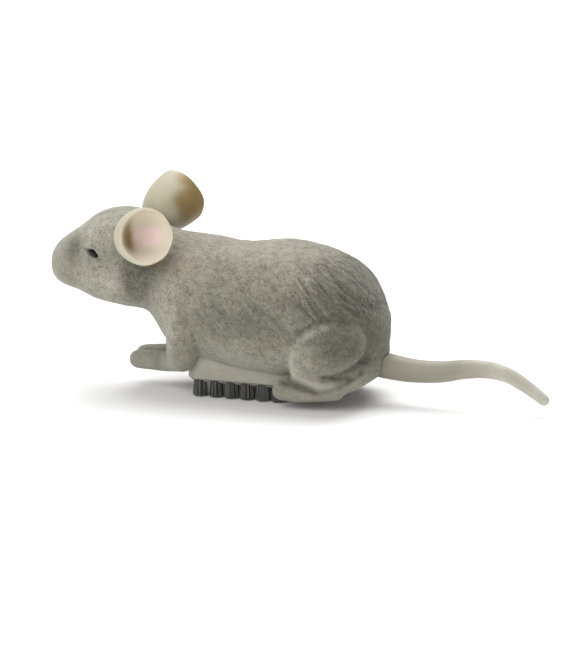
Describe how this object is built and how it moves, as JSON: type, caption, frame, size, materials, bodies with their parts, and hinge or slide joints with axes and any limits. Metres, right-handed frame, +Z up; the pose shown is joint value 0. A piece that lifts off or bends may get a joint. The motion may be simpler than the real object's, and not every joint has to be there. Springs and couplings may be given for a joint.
{
  "type": "clockwork mouse",
  "caption": "Flocked toy mouse on a two-row brush block, shaken along by a spring motor with an off-centre weight.",
  "frame": {"origin": "middle of the outer box in plan, at the height of the bristle tips that it stands on", "axes": "+X towards the tail, the nose points to -X; +Y towards the mouse's right flank, where the winding knob is; +Z up"},
  "size_m": [0.13, 0.0433, 0.0512],
  "materials": {
    "flocked_skin": "short flocking",
    "ear_rubber": "satin",
    "tail_rubber": "satin",
    "eye_black": "polished",
    "block_plastic": "fine satin",
    "bristle_nylon": "dull",
    "staple_brass": "drawn",
    "frame_steel": "rolled",
    "turned_brass": "turned",
    "screw_steel": "plated",
    "spring_steel": "blued",
    "arbor_steel": "ground",
    "gear_plastic": "moulded",
    "knob_plastic": "moulded"
  },
  "bodies": {
    "shell_and_frame": {"body_shell": "flocked_skin", "ear_left": "ear_rubber", "ear_right": "ear_rubber", "eye_left": "eye_black", "eye_right": "eye_black", "tail": "tail_rubber", "base_block": "block_plastic", "tuft_row_left": "bristle_nylon", "tuft_row_right": "bristle_nylon", "tuft_anchors": "staple_brass", "motor_plate_left": "frame_steel", "motor_plate_right": "frame_steel", "motor_pillars": "turned_brass", "pillar_nuts": "screw_steel", "motor_screws": "screw_steel", "spring_post": "turned_brass", "mainspring": "spring_steel"},
    "winding": {"winding_knob": "knob_plastic", "winding_arbor": "arbor_steel", "ratchet_wheel": "turned_brass"},
    "great": {"great_wheel": "gear_plastic", "click_screw": "screw_steel", "click_spring": "spring_steel"},
    "pawl": {"click": "arbor_steel"},
    "second": {"second_arbor": "arbor_steel", "second_pinion": "gear_plastic", "second_wheel": "gear_plastic"},
    "third": {"third_arbor": "arbor_steel", "third_pinion": "gear_plastic", "third_wheel": "gear_plastic"},
    "shaker": {"shaker_arbor": "arbor_steel", "shaker_pinion": "gear_plastic", "shaker_weight": "arbor_steel"}
  },
  "joints": [
    {"name": "shaker_turn", "type": "hinge", "parent": "shell_and_frame", "child": "shaker", "pos_m": [-0.02284, 0, 0.01565], "axis": [0, 1, 0], "continuous": true},
    {"name": "third_turn", "type": "hinge", "parent": "shell_and_frame", "child": "third", "pos_m": [-0.02145, 0, 0.02555], "axis": [0, 1, 0], "continuous": true},
    {"name": "second_turn", "type": "hinge", "parent": "shell_and_frame", "child": "second", "pos_m": [-0.01129, 0, 0.02016], "axis": [0, 1, 0], "continuous": true},
    {"name": "great_turn", "type": "hinge", "parent": "shell_and_frame", "child": "great", "pos_m": [0.002, 0, 0.0225], "axis": [0, 1, 0], "continuous": true},
    {"name": "winding_turn", "type": "hinge", "parent": "shell_and_frame", "child": "winding", "pos_m": [0.002, 0, 0.0225], "axis": [0, 1, 0], "continuous": true},
    {"name": "click_swing", "type": "hinge", "parent": "great", "child": "pawl", "pos_m": [0.0086, 0, 0.02134], "axis": [0, -1, 0], "range_deg": [0, 11], "stiffness_Nm_per_rad": 0.00005, "springref_deg": -8.59, "deforming": ["click_spring"]}
  ],
  "couplings": [
    {"joint": "third_turn", "follows": "shaker_turn", "ratio": -0.33333},
    {"joint": "second_turn", "follows": "shaker_turn", "ratio": 0.092593},
    {"joint": "great_turn", "follows": "shaker_turn", "ratio": -0.026455},
    {"joint": "winding_turn", "follows": "shaker_turn", "ratio": -0.026455}
  ]
}
